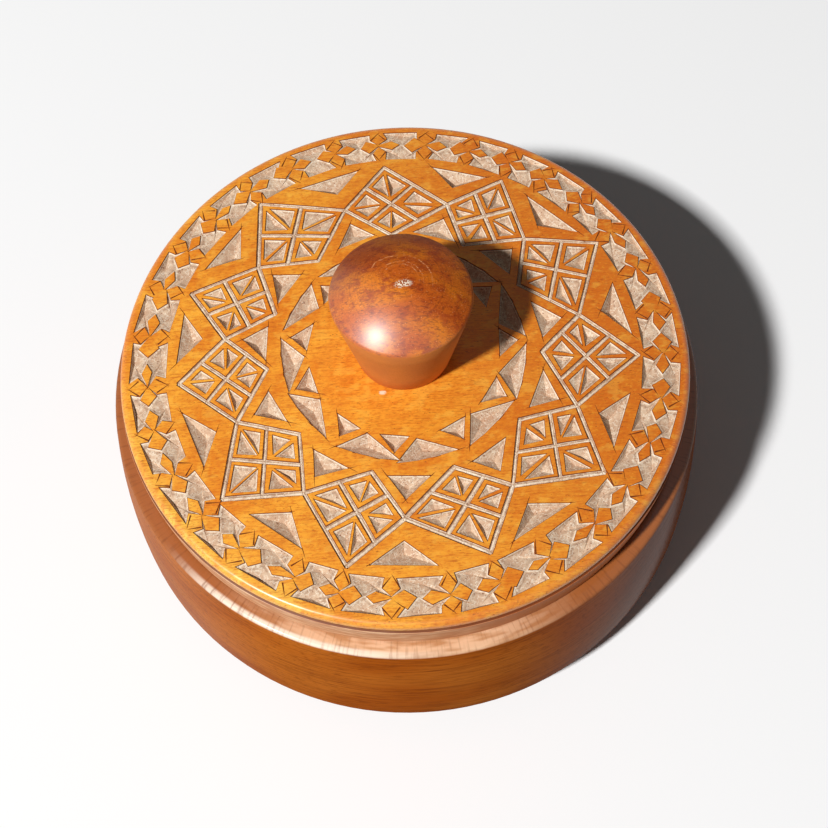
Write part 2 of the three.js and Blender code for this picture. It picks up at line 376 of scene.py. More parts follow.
def lidRings(sizes):
    dish = sizes["dishRadius"]
    seat = boxSizes["height"] + sizes["seatGap"]
    bottom = seat - sizes["spigotLength"]
    spigot = boxSizes["mouthRadius"] - sizes["spigotClearance"]
    edge = sizes["spigotEdge"]
    underside = sizes["undersideRadius"]
    groove = sizes["grooveHeight"]
    half = sizes["grooveHalfWidth"]
    side = sizes["radius"]
    roll = sizes["rollRadius"]
    rollFoot = side - sizes["rollInset"]
    socket = sizes["socketRadius"]
    rings = []
    for share in sizes["dishShares"]:
        rings.append((dish * share, bottom + sizes["dishDepth"] * (1 - share ** 2)))
    rings += [(spigot - edge, bottom), (spigot, bottom + edge), (spigot, seat)]
    rings += [(underside - sizes["footEdge"], seat), (underside, seat + sizes["footEdge"])]
    rings += [(side - sizes["sideTaper"], groove - sizes["sideTaperDrop"]), (side, groove - half)]
    rings += [(side - sizes["grooveDepth"], groove), (rollFoot, groove + half)]
    rollWidth = rollFoot - roll
    rings += arcRings(roll, sizes["rollHeight"], rollWidth, sizes["rollSize"], 0, 90, sizes["rollSteps"])
    count = sizes["domeRings"]
    for i in range(count - 1, 0, -1):
        radius = socket + (roll - socket) * i / count
        rings.append((radius, domeHeight(radius)))
    rings += [(socket, domeHeight(socket)), (socket, sizes["socketFloor"])]
    rings += [(sizes["capRadius"], sizes["socketFloor"])]
    return rings


lidPiece = turnPiece("carvedLid", lidRings(lidSizes), lidSizes["sides"])
print("lid turned")


# carving: cutters drawn over the lid, each a closed shape, taken from it a set at a time

carving = {
    "seed": 11,
    "over": 0.14,  # how far a cutter stands above the lid's top, in mm
    "slip": 0.1,  # how far the carver's hand slipped, in mm
    # where the carver set out the ring of squares, in degrees round from the +X side
    "sideAngles": (172.3, 202.7, 235.4, 267.5, 302.1, 336.4, 369.5, 403.5, 432.7, 467.4, 503.6),
    "sideRadius": 31.5,
    "tipAngles": (185.8, 219.7, 254, 287.7, 321.9, 355.5, 389.5, 420.5, 452.7, 487.1, 519.2),
    "tipRadii": (39.4, 40.8, 40.5, 40, 40.7, 40.6, 41.2, 40.3, 39.6, 41.2, 39.9),
    "heelRadius": 24, "middleShares": (0.47, 0.53),
    # the steep lip round every chip, and what stops its sharp corners running off
    "lipWidth": 0.17, "lipDepth": 0.28, "cornerShare": 0.2,
    # knife marks that run on past the corners of a chip
    "markDeepestShare": 0.25, "markTaperShare": 0.3, "markOverlap": 0.5,
    "mark": {"width": 0.22, "depth": 0.1},
}

slips = random.Random(carving["seed"])


def vary(ends):
    return slips.uniform(*ends)


# a point of the lid's top, the radius in mm and the angle in degrees
def onLid(radius, degrees, slip=0):
    angle = math.radians(degrees)
    x = radius * math.cos(angle) + slips.uniform(-slip, slip)
    y = radius * math.sin(angle) + slips.uniform(-slip, slip)
    return Vector((x, y, domeHeight(math.hypot(x, y)))) * mm


# the same place in plan, a number of mm above the lid's top
def overLid(place, rise):
    return Vector((place.x, place.y, (domeHeight(place.xy.length / mm) + rise) * mm))


def anticlockwise(outline):
    area = sum(a.x * b.y - b.x * a.y for a, b in zip(outline, outline[1:] + outline[:1]))
    return outline if area > 0 else outline[::-1]


# an outline with each side moved in by a distance in mm, or out by a negative one
def insetBy(outline, distance):
    moved = []
    for i, corner in enumerate(outline):
        before = (corner - outline[i - 1]).xy.normalized()
        after = (outline[(i + 1) % len(outline)] - corner).xy.normalized()
        way = Vector((-before.y - after.y, before.x + after.x, 0))
        sharpness = max(1 + before.dot(after), carving["cornerShare"])
        moved.append(corner + way * (distance * mm / sharpness))
    return moved


def middleOf(places):
    return sum(places, Vector()) / len(places)


def startCutter():
    deselectAll()
    bpy.ops.mesh.primitive_plane_add(size=mm)
    cutter = bpy.context.object
    bpy.ops.object.mode_set(mode="EDIT")
    bpy.ops.mesh.select_all(action="SELECT")
    bpy.ops.mesh.delete(type="VERT")
    return cutter


def selectedCorners(cutter):
    return [corner for corner in bmesh.from_edit_mesh(cutter.data).verts if corner.select]


# the corners of a ring in their order round its middle, a corner straight towards +X first
def inTurn(corners, middle):
    nudge = 0.1

    def turn(corner):
        away = corner.co - middle
        return (math.atan2(away.y, away.x) + nudge) % (2 * math.pi)
    return sorted(corners, key=turn)


def dragTo(corners, places):
    for corner, place in zip(corners, places):
        selectNone()
        corner.select = True
        bpy.ops.transform.translate(value=place - corner.co)


# a cone, point down, its rim dragged onto an outline that runs anticlockwise
def addPoint(cutter, outline, deepest):
    selectNone()
    bpy.ops.mesh.primitive_cone_add(
        vertices=len(outline), radius1=mm, radius2=0, depth=mm, rotation=(math.pi, 0, 0), location=deepest
    )
    corners = selectedCorners(cutter)
    point = min(corners, key=lambda corner: corner.co.z)
    rim = inTurn([corner for corner in corners if corner != point], deepest)
    dragTo([point] + rim, [deepest] + outline)
    return rim


# a knife mark that thins out from its start to its end
def cutMark(cutter, start, end, width, depth):
    along = (end - start).normalized()
    stretch = 1 + carving["over"] / depth
    half = Vector((-along.y, along.x, 0)) * (width / 2 * mm)
    thin = half * carving["markTaperShare"]
    deepest = overLid(start.lerp(end, carving["markDeepestShare"]), -depth)
    outline = []
    for place in (start - half, end - thin, end + thin, start + half):
        outline.append(deepest + (overLid(place, 0) - deepest) * stretch)
    addPoint(cutter, outline, deepest)


# marks where the knife ran on past the corners of some outlines, those that cross in different sets
def markCorners(outlines, marks):
    for backwards in (False, True):
        for parity in range(2):
            cutter = startCutter()
            for outline in outlines:
                ordered = outline[::-1] if backwards else outline
                for i in range(parity, len(ordered), 2):
                    along = (ordered[i] - ordered[i - 1]).normalized()
                    run = vary(marks["runs"])
                    if slips.random() < marks["chance"]:
                        start = ordered[i] - along * (carving["markOverlap"] * mm)
                        end = ordered[i] + along * (run * mm)
                        cutMark(cutter, start, end, **carving["mark"])
            cutLid(cutter)


# a chip with a steep lip all round and a floor that slopes to its deepest point
def cutChip(cutter, outline, deepest):
    outline = anticlockwise(outline)
    lipWidth = carving["lipWidth"]
    lipDepth = carving["lipDepth"]
    over = carving["over"]
    floor = [overLid(corner, -lipDepth) for corner in insetBy(outline, lipWidth)]
    top = [overLid(corner, over) for corner in insetBy(outline, -lipWidth * over / lipDepth)]
    rim = addPoint(cutter, floor, deepest)
    cap = next(face for face in rim[0].link_faces if set(face.verts) == set(rim))
    selectNone()
    cap.select_set(True)
    bpy.ops.mesh.extrude_region_move(TRANSFORM_OT_translate={"value": (0, 0, lipDepth * mm)})
    corners = selectedCorners(cutter)
    raised = [min(corners, key=lambda corner: (corner.co.xy - place.xy).length) for place in floor]
    dragTo(raised, top)


# grooves along the squares' edges and across them, in mm
grooves = {
    "width": 0.94, "widthSpread": (0.85, 1.1), "depth": 0.38, "swell": 0.14, "wall": 0.16,
    "shoulderDepth": 0.15, "shoulderWidth": 0.12, "overrun": 0.2, "wobble": 0.05,
    "wobbleCuts": 5, "wobbleSeeds": 1000,
}


# a groove along a line: a shoulder each side, steep walls, and a floor that swells along its middle
def cutGroove(cutter, start, end, width):
    along = (end - start).normalized()
    side = Vector((-along.y, along.x, 0)).normalized()
    over = carving["over"]
    depth = grooves["depth"]
    shoulder = grooves["shoulderDepth"]
    shoulderWidth = grooves["shoulderWidth"]
    halfTop = side * ((width / 2 + shoulderWidth * over / shoulder) * mm)
    halfShelf = side * ((width / 2 - shoulderWidth) * mm)
    halfFloor = side * ((width / 2 - grooves["wall"]) * mm)

    sections = []
    for place, away in ((start, -1), (end, 1)):
        tip = place + along * (away * grooves["overrun"] * mm)
        rises = (over, -shoulder, -depth, grooves["swell"] - depth)
        top, shelf, floor, crest = [overLid(tip, rise) for rise in rises]
        right = [top - halfTop, shelf - halfShelf, floor - halfFloor]
        left = [floor + halfFloor, shelf + halfShelf]
        sections.append([top + halfTop, *right, crest, *left])

    middle = (start + end) / 2
    selectNone()
    bpy.ops.mesh.primitive_cylinder_add(vertices=len(sections[0]), radius=mm, depth=mm, location=middle)
    corners = selectedCorners(cutter)
    lower = inTurn([corner for corner in corners if corner.co.z < middle.z], middle)
    upper = inTurn([corner for corner in corners if corner.co.z > middle.z], middle)
    dragTo(lower, sections[0])
    dragTo(upper, sections[1])
    selectNone()
    for first, second in zip(lower, upper):
        for edge in first.link_edges:
            if second in edge.verts:
                edge.select_set(True)
    bpy.ops.mesh.subdivide(number_cuts=grooves["wobbleCuts"])
    seed = slips.randrange(grooves["wobbleSeeds"])
    bpy.ops.transform.vertex_random(offset=grooves["wobble"] * mm, seed=seed)


def cutLid(cutter):
    choose(lidPiece)
    bpy.ops.object.modifier_add(type="BOOLEAN")
    cut = lidPiece.modifiers[-1]
    cut.operation = "DIFFERENCE"
    cut.solver = "MANIFOLD"
    cut.object = cutter
    bpy.ops.object.modifier_apply(modifier=cut.name)
    bpy.data.objects.remove(cutter)


squareCount = len(carving["sideAngles"])


# the corners of one square, from the heel round by its first side corner
def squareCorners(k):
    sides = carving["sideAngles"]
    second = sides[k + 1] if k + 1 < squareCount else sides[0] + 360
    slip = carving["slip"]
    return [
        onLid(carving["heelRadius"], carving["tipAngles"][k], slip),
        onLid(carving["sideRadius"], sides[k]),
        onLid(carving["tipRadii"][k], carving["tipAngles"][k], slip),
        onLid(carving["sideRadius"], second),
    ]


# the six grooves of a square: its four edges and the two lines across it
def grooveLines(corners, middles):
    return [*zip(corners, corners[1:] + corners[:1]), *zip(middles[:2], middles[2:])]


squares = [squareCorners(k) for k in range(squareCount)]
edgeMiddles = []
for corners in squares:
    edges = zip(corners, corners[1:] + corners[:1])
    edgeMiddles.append([start.lerp(end, vary(carving["middleShares"])) for start, end in edges])

# one groove of every square at a time, since the grooves of one square cross
for lines in zip(*map(grooveLines, squares, edgeMiddles)):
    cutter = startCutter()
    for start, end in lines:
        cutGroove(cutter, start, end, grooves["width"] * vary(grooves["widthSpread"]))
    cutLid(cutter)
print("square grooves cut")


# panes of the squares: a border, and a ridge left standing between two chips
panes = {
    "border": 0.52, "borderSpread": (0.75, 1.2), "depth": 0.9, "depthSpread": (0.75, 1.15),
    "ridge": 0.46, "ridgeSpread": (0.5, 1.3), "leanShares": (-0.3, 0.3), "footShare": 0.35,
    "headShare": 0.65, "endShare": 0.9,
}


# the two chips of a pane, either side of a ridge from the square's middle to its corner
def cutPane(cutter, pane):
    inset = grooves["width"] / 2 + panes["border"] * vary(panes["borderSpread"])
    middle, first, corner, second = insetBy(anticlockwise(pane), inset)
    along = (corner - middle).normalized()
    sideways = Vector((-along.y, along.x, 0))
    ridge = panes["ridge"] * vary(panes["ridgeSpread"]) * mm
    lean = vary(panes["leanShares"]) * ridge
    deep = panes["depth"] * vary(panes["depthSpread"])
    foot = ridge * panes["footShare"]
    head = ridge * panes["headShare"]
    short = along * ridge * panes["endShare"]
    for side, way in ((first, -1), (second, 1)):
        if (side - middle).dot(sideways) * way < 0:
            way = -way
        near = middle + sideways * (way * foot + lean) + short
        far = corner + sideways * (way * head + lean) - short
        deepest = middleOf([near, far, side, middleOf([near, far])])
        cutChip(cutter, [near, side, far], overLid(deepest, -deep))


cutter = startCutter()
for corners, middles in zip(squares, edgeMiddles):
    centre = middleOf(middles)
    for k, corner in enumerate(corners):
        cutPane(cutter, [centre, middles[k - 1], corner, middles[k]])
cutLid(cutter)
print("pane chips cut")


# rings of three-cornered chips: the radii in mm of base and tip, and the base's span in degrees
ringCuts = {
    # how much a chip's base leans and bows, and how far its ends slip in degrees
    "lean": 0.25, "bow": 0.3, "endSlip": 1, "tipSlipShare": 1.5,
    # chips outside and inside the corner where two squares touch
    "outerChip": {"base": 39.9, "tip": 35.3, "depth": 1.5, "span": (-8, 8.2), "deepestShare": 0.55},
    "innerChip": {"base": 24.2, "tip": 28.4, "depth": 1.2, "span": (-7.8, 10.2)},
    "gapMarks": {"runs": (0.6, 2.4), "chance": 0.6},
    # zigzag round the plain middle, its places in degrees from the tip of each long chip
    "longTips": (180.9, 211, 246, 273.8, 308.8, 340.3, 373.7, 407.2, 440.6, 474, 507.5),
    "longChip": {"base": 21.6, "tip": 17.1, "depth": 1.45, "span": (-10.5, 20), "bends": (0.3, 0.65)},
    "shortChip": {"base": 16.8, "tip": 20, "depth": 1.1, "span": (-22, -3.2), "tipTurn": -11.5},
    "zigzagMarks": {"runs": (0.4, 1.6), "chance": 0.5},
}


# a three-cornered chip, its base straight or bent at some shares of its length
def cutRingChip(cutter, angle, base, tip, depth, span, deepestShare=0.45, bends=(), tipTurn=0):
    slip = carving["slip"]
    start, end = [angle + place + slips.uniform(-1, 1) * ringCuts["endSlip"] for place in span]
    lean = slips.uniform(-1, 1) * ringCuts["lean"]
    outline = []
    for share in (0, *bends, 1):
        rise = lean * (share * 2 - 1) - ringCuts["bow"] * math.sin(math.pi * share)
        outline.append(onLid(base + rise, start + (end - start) * share, slip / 2))
    middle = outline[0].lerp(outline[-1], 0.5)
    outline.append(onLid(tip, angle + tipTurn, slip * ringCuts["tipSlipShare"]))
    cutChip(cutter, outline, overLid(middle.lerp(outline[-1], deepestShare), -depth))
    return outline


# a ring of chips of two kinds, one of each at every angle, with knife marks at their corners
def cutRing(angles, chips, marks):
    cutter = startCutter()
    outlines = [cutRingChip(cutter, angle, **ringCuts[chip]) for angle in angles for chip in chips]
    cutLid(cutter)
    markCorners(outlines, marks)


cutRing(carving["sideAngles"], ("outerChip", "innerChip"), ringCuts["gapMarks"])
cutRing(ringCuts["longTips"], ("longChip", "shortChip"), ringCuts["zigzagMarks"])
print("ring chips and zigzag cut")


# border band, its cells meeting at crossings on one circle, in degrees round from the +X side
band = {
    "crossings": (
        7.2, 19, 30.1, 40.9, 51.7, 61.2, 71.5, 82.1, 93.4, 103.8, 115.1, 126.7, 137.8, 148.4, 159.7,
        172.2, 185.3, 196.1, 207.7, 219.5, 230.5, 243.8, 253.7, 264.5, 276.8, 287.2, 298.7, 311.1,
        322.4, 333.9, 345, 356.3,
    ),
    "radius": 44.95, "outer": 48, "inner": 41.5, "depth": 0.9, "slip": 0.16,
    "deepestShare": 0.78, "deepestSlip": 0.3,
    # a cell's corners as shares of its length, with a square and a lozenge left standing in it
    "cell": {
        "left": (0.15, 0.21), "leftTop": (0.05, 0.2), "right": (0.79, 0.85), "rightTop": (0.8, 0.95),
        "first": (0.23, 0.29), "firstHeight": (1.25, 1.75), "valley": (0.45, 0.51),
        "second": (0.68, 0.76), "secondHeight": (0.75, 1.25),
    },
    "overrunShare": 0.025, "sideShare": 0.5, "valleyDepth": 0.4,
    # knife marks across the tips of the diamonds between the cells
    "mark": {"width": 0.34, "depth": 0.17},
    "markSlip": 0.05, "startShare": 0.45, "turnShare": 0.17, "reaches": (0.7, -0.9),
    "reachShares": (0.1, 1), "crossShares": (0, 0.08),
}


# one half of a cell of the border band, outside the crossings or inside them
def bandOutline(start, end, height):
    way = math.copysign(1, height)
    cell = {name: vary(ends) for name, ends in band["cell"].items()}
    overrun = band["overrunShare"]
    side = band["sideShare"] * height
    places = (
        (-overrun, 0), (cell["left"], side), (cell["leftTop"], height),
        (cell["rightTop"], height), (cell["right"], side), (1 + overrun, 0),
        (cell["second"], way * cell["secondHeight"]), (cell["valley"], -way * band["valleyDepth"]),
        (cell["first"], way * cell["firstHeight"]),
    )
    outline = []
    for share, rise in places:
        angle = start + share * (end - start)
        outline.append(onLid(band["radius"] + rise, angle, band["slip"]))
    return outline


# one mark at each crossing, past the tip of its diamond, leaning one way or the other
def markDiamonds(height, reach, way):
    cutter = startCutter()
    slip = band["markSlip"]
    startRadius = band["radius"] + band["startShare"] * height
    for start, end in cells:
        step = end - start
        first = onLid(startRadius, start + way * band["turnShare"] * step, slip)
        cross = vary(band["crossShares"])
        endRadius = band["radius"] + height + reach * vary(band["reachShares"])
        last = onLid(endRadius, start - way * cross * step, slip)
        cutMark(cutter, first, last, **band["mark"])
    cutLid(cutter)


crossings = band["crossings"]
cells = list(zip(crossings, crossings[1:] + (crossings[0] + 360,)))
bandHeights = [band[edge] - band["radius"] for edge in ("outer", "inner")]

# every other cell at a time, since neighbours overlap at the crossings
for height in bandHeights:
    deepestRadius = band["radius"] + band["deepestShare"] * height
    for parity in range(2):
        cutter = startCutter()
        for start, end in cells[parity::2]:
            outline = bandOutline(start, end, height)
            deepest = onLid(deepestRadius, (start + end) / 2, band["deepestSlip"])
            cutChip(cutter, outline, overLid(deepest, -band["depth"]))
        cutLid(cutter)

# the diamonds between the pockets are closed by marks that cross at their tips
for height, reach in zip(bandHeights, band["reaches"]):
    for way in (-1, 1):
        markDiamonds(height, reach, way)


# drops the slivers of wood that crossing cuts left standing free
def dropSlivers(piece):
    choose(piece)
    bpy.ops.object.mode_set(mode="EDIT")
    selectNone()
    lowest = min(bmesh.from_edit_mesh(piece.data).verts, key=lambda corner: corner.co.z)
    lowest.select_set(True)
    bpy.ops.mesh.select_linked()
    bpy.ops.mesh.select_all(action="INVERT")
    bpy.ops.mesh.delete(type="VERT")
    bpy.ops.object.mode_set(mode="OBJECT")


dropSlivers(lidPiece)
print("border band cut")


# knob

knobSizes = {
    "sides": 96, "tenonRadius": 4, "tenonEndGap": 0.4, "tenonCap": 1, "tenonEdge": 0.5,
    "footRadius": 8.3, "footGap": 0.02, "footEdge": 0.35,
    "sideShares": (0, 0.25, 0.5, 0.75, 1), "headRadius": 11.78, "headHeight": 64,
    "headEdge": 0.3, "headEdgeShares": (0.985, 0.96),
    "topSkin": 0.02,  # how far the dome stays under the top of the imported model
    "domeShare": 0.93, "domeRings": 14, "capRadius": 0.25, "sharpAngle": 35,
}


def knobRings(sizes):
    head = sizes["headRadius"]
    headHeight = sizes["headHeight"]
    rise = cadHigh[2] / mm - sizes["topSkin"] - headHeight
    foot = sizes["footRadius"]
    footHeight = lidSizes["topHeight"] + sizes["footGap"]
    footTop = footHeight + sizes["footEdge"]
    bottom = lidSizes["socketFloor"] + sizes["tenonEndGap"]
    tenon = sizes["tenonRadius"]
    cap = sizes["capRadius"]
    sphere = (head ** 2 + rise ** 2) / (2 * rise)
    centre = headHeight + rise - sphere
    rings = [(sizes["tenonCap"], bottom), (tenon - sizes["tenonEdge"], bottom)]
    rings += [(tenon, bottom + sizes["tenonEdge"]), (tenon, footHeight)]
    rings += [(foot - sizes["footEdge"], footHeight)]
    for share in sizes["sideShares"]:
        height = footTop + (headHeight - sizes["headEdge"] - footTop) * share
        rings.append((foot + (head - foot) * share, height))
    domeRadii = [head * share for share in sizes["headEdgeShares"]]
    count = sizes["domeRings"]
    for i in range(count - 1, -1, -1):
        domeRadii.append(cap + (head * sizes["domeShare"] - cap) * i / (count - 1))
    rings += [(radius, centre + math.sqrt(sphere ** 2 - radius ** 2)) for radius in domeRadii]
    return rings


knobPiece = turnPiece("lidKnob", knobRings(knobSizes), knobSizes["sides"])
print("knob turned")


# finish of the lid

lidLooks = {
    "wood": colour(230, 135, 30), "woodPale": colour(248, 168, 50),
    "woodYellowAndSheen": colour(255, 204, 84), "woodRed": colour(202, 98, 18),
    "woodDark": colour(150, 66, 12), "fleckAndGrooveShade": colour(104, 46, 14),
    "sideWood": colour(180, 102, 52), "sideHighlight": colour(202, 138, 94),
    "sideHighlightStreak": colour(234, 186, 144), "filler": colour(211, 177, 147),
    "fillerPale": colour(233, 208, 178), "whiteFillerAndHighlight": colour(249, 236, 214),
    "darkFillerAndShade": colour(144, 108, 84), "fillerShadePink": colour(190, 150, 120),
    # the dark walls of the cuts, their own colour deepened with painted shade; also the pits in the
    # filler
    "outline": colour(120, 54, 18),
    # patterns of the wood and then of the filler, their cells' sizes in mm
    "patterns": {
        "patches": {"size": (16, 9, 12), "turn": 20, "detail": 1, "seed": 3},
        "figure": {"size": (2.2, 16, 9), "turn": -12, "detail": 1, "seed": 12},
        "streaks": {"size": (6, 0.35, 0.5), "detail": 3, "roughness": 0.6, "seed": 7},
        "dashes": {"size": (1.2, 0.14, 0.3), "detail": 1, "roughness": 0.4, "seed": 2},
        "flecks": {"size": (0.55, 0.2, 0.4), "detail": 1, "seed": 5},
        "mottle": {"size": (0.7, 0.4, 0.5), "detail": 3, "roughness": 0.65, "seed": 15},
        "clumps": {"size": (3.4, 2, 3), "turn": 8, "roughness": 0.6, "seed": 18},
        "grit": {"size": (0.3, 0.3, 0.3), "detail": 3, "roughness": 0.7, "seed": 4},
        "clouds": {"size": (1.4, 1.4, 1.4), "seed": 9},
        "pits": {"size": (0.4, 0.3, 0.4), "detail": 1, "seed": 31},
        "threads": {"size": (1.1, 1.1, 1.1), "roughness": 0.6, "seed": 21},
    },
    # stains over the wood: pattern, the levels that it starts and is full at, cover and colour
    "grounds": (("patches", 0.35, 0.65, 1, "woodPale"),),
    "stains": (
        ("streaks", 0.45, 0.72, 0.5, "woodRed"),
        ("dashes", 0.56, 0.7, 0.5, "woodDark"),
        ("mottle", 0.5, 0.66, 0.45, "woodRed"),
        ("mottle", 0.46, 0.32, 0.4, "woodPale"),
        ("clumps", 0.5, 0.64, 0.22, "woodRed"),
        ("clumps", 0.47, 0.34, 0.22, "woodYellowAndSheen"),
        ("flecks", 0.7, 0.76, 0.7, "fleckAndGrooveShade"),
    ),
    # pale figure in the wood, weaker towards the side away from the key light; painted shade makes that
    # side redder as a whole
    "figureLevels": (0.45, 0.62), "figureCover": 0.6, "shadedFigureLoss": 0.3,
    "shadedSide": ((1, 0.3, -30, 55),), "shadedSideCover": 0.85,
    # painted sheen: the front of the border, towards the key light, is painted yellow, most of all where
    # the figure is
    "front": ((0.7, 0.7, -38, -48),), "sheenRadii": (42, 48.5), "sheenLevels": (0.4, 0.6),
    "sheenCover": 0.28, "sheenFigureCover": 0.52,
    # a drop of glue at the knob's foot
    "glueX": -4.1, "glueY": -8.4, "glueRaggedness": 1.2, "glueFlatness": 1.7,
    "glueAreas": (0.6, 0.1), "glueCover": 0.75,
    # the side under the groove, with a painted highlight of pale streaks at the front, towards the key
    # light, and painted shade as a dark line in the groove
    "sideTop": (0.2, -0.2),
    "sideStreaks": {"size": (5, 0.8, 1), "roughness": 0.6, "seed": 8},
    "sideStreaksLevels": (0.42, 0.64), "highlitSide": ((0.5, 0.8, -30, -44),),
    "grooveShadeIn": (-0.03, -0.12), "grooveShadeBottom": (-0.45, -0.3), "grooveShadeTop": (0.6, 0.4),
    "grooveShadeCover": 0.9,
    # the carved top inside the rolled edge, and the shiny top of that edge
    "topIn": (0, -0.3), "topUp": (-0.1, 0.1), "edgeOut": (-0.3, 0.3),
    "edgeUp": (-0.5, -0.1),
    # depths in mm under the lid's top at which a cut, its filler, the painted highlight on its crest and
    # the painted shade at its foot show
    "cutDepths": (0.004, 0.05), "fillerDepths": (0.15, 0.21), "crestHighlightDepths": (0.34, 0.27),
    "crestHighlightLevels": (0.35, 0.5), "footShadeDepths": (0.33, 0.38), "footShadeEndDepths": (0.5, 0.42),
    "footShadeCover": 0.45,
    "fillerStains": (
        # painted shade: the filler pinker and darker deeper in a cut
        ("depth", 0.4, 0.9, 0.5, "fillerShadePink"),
        ("clouds", 0.42, 0.65, 0.45, "fillerPale"),
        ("grit", 0.45, 0.7, 0.26, "darkFillerAndShade"),
        ("veins", 0.035, 0.005, 0.55, "whiteFillerAndHighlight"),
        ("pits", 0.66, 0.72, 0.7, "outline"),
    ),
    "varnish": {"IOR": 1.5, "Coat Roughness": 0.3, "Specular IOR Level": 0.2},
    "coat": 0.2, "edgeCoat": 0.6, "roughness": 0.46, "fillerRoughness": 0.4,
    "dashRoughness": 0.1, "grainHeight": 0.5,
    "grainBump": {"distance": 0.03, "strength": 0.35},
    "gritHeight": 0.6,
    "fillerBump": {"distance": 0.15, "strength": 0.6},
}


def lidWood(f, looks):
    figure = f.patterns["figure"]
    # painted shade: redder, with weaker figure, on the side away from the key light
    far = f.region("shadedSide")
    figureCover = looks["figureCover"] - far * looks["shadedFigureLoss"]
    # painted sheen: yellow over the front of the border
    front = f.region("front") * f.fadeBy(f.radius, "sheenRadii")
    sheenFigure = f.fadeBy(figure, "sheenLevels") * looks["sheenFigureCover"]
    wood = f.stain(looks["wood"], "grounds")
    wood = f.mix(f.fadeBy(figure, "figureLevels") * figureCover, wood, looks["woodPale"])
    wood = f.mix(far * looks["shadedSideCover"], wood, looks["woodRed"])
    wood = f.mix(front * (sheenFigure + looks["sheenCover"]), wood, looks["woodYellowAndSheen"])
    wood = f.stain(wood, "stains")
    glueX = f.x - looks["glueX"] + f.swing("mottle") * looks["glueRaggedness"]
    glueY = (f.y - looks["glueY"]) * looks["glueFlatness"]
    glue = f.fadeBy(glueX * glueX + glueY * glueY, "glueAreas")
    return f.mix(glue * looks["glueCover"], wood, looks["whiteFillerAndHighlight"])


def lidSideWood(f, looks):
    # painted highlight: pale streaks on the side at the front-left, towards the key light
    grain = f.noise(f.joined(f.around, f.z, 0), **looks["sideStreaks"])
    highlit = f.region("highlitSide")
    wood = f.mix(highlit, looks["sideWood"], looks["sideHighlight"])
    return f.mix(highlit * f.fadeBy(grain, "sideStreaksLevels"), wood, looks["sideHighlightStreak"])


# pale filler, with a painted highlight in white along its crest, painted shade at the foot of a cut's
# steep lip, and painted shade pinker deeper down
def lidFiller(f, looks):
    depth = f.patterns["depth"]
    # painted highlight in white along the crest, and painted shade at the foot of the lip
    crest = f.fadeBy(depth, "crestHighlightDepths") * f.fadeBy(f.patterns["clouds"], "crestHighlightLevels")
    foot = f.fadeBy(depth, "footShadeDepths") * f.fadeBy(depth, "footShadeEndDepths")
    filler = f.mix(crest, looks["filler"], looks["whiteFillerAndHighlight"])
    filler = f.mix(foot * looks["footShadeCover"], filler, looks["darkFillerAndShade"])
    return f.stain(filler, "fillerStains")


def lidFinish(looks):
    f = Finish(bpy.data.materials.new("carvedLidWood"), looks)
    f.locate()
    patterns = f.patterns
    roll = lidSizes["rollRadius"]
    rollHeight = lidSizes["rollHeight"]
    groove = lidSizes["grooveHeight"]
    patterns["veins"] = f.add("ShaderNodeMath", {"operation": "ABSOLUTE"}, {0: f.swing("threads")})
    dome = lidSizes["topHeight"] - lidSizes["topDrop"] * (f.radius / roll) ** lidSizes["domePower"]
    depth = dome - f.z
    patterns["depth"] = depth

    onTop = f.band(roll, "topIn", rollHeight, "topUp")
    atEdge = f.band(roll, "edgeOut", rollHeight, "edgeUp")
    grooveShade = f.band(lidSizes["radius"], "grooveShadeIn", groove, "grooveShadeBottom")
    grooveShade = grooveShade * f.fadeBy(f.z, "grooveShadeTop", groove)
    cut = f.fadeBy(depth, "cutDepths") * onTop
    filled = f.fadeBy(depth, "fillerDepths") * onTop

    wood = f.mix(f.fadeBy(f.z, "sideTop", groove), lidWood(f, looks), lidSideWood(f, looks))
    # painted shade: a dark line in the groove under the rolled edge
    wood = f.mix(grooveShade * looks["grooveShadeCover"], wood, looks["fleckAndGrooveShade"])
    # the steep lip of a cut is dark: bare wood with painted shade, and filler below it
    inCut = f.mix(filled, looks["outline"], lidFiller(f, looks))

    grain = (patterns["streaks"] + patterns["dashes"]) * looks["grainHeight"]
    lumps = (patterns["grit"] * looks["gritHeight"] + patterns["clouds"]) * cut
    grainBump = f.bump(grain, **looks["grainBump"])
    coat = looks["coat"] + atEdge * looks["edgeCoat"]
    rough = looks["roughness"] + cut * looks["fillerRoughness"]
    return f.surface(looks["varnish"], {
        "Base Color": f.mix(cut, wood, inCut),
        "Roughness": rough + patterns["dashes"] * looks["dashRoughness"],
        "Coat Weight": coat * (1 - cut) * (1 - grooveShade),
        "Normal": f.bump(lumps, normal=grainBump, **looks["fillerBump"]),
    })


# finish of the box

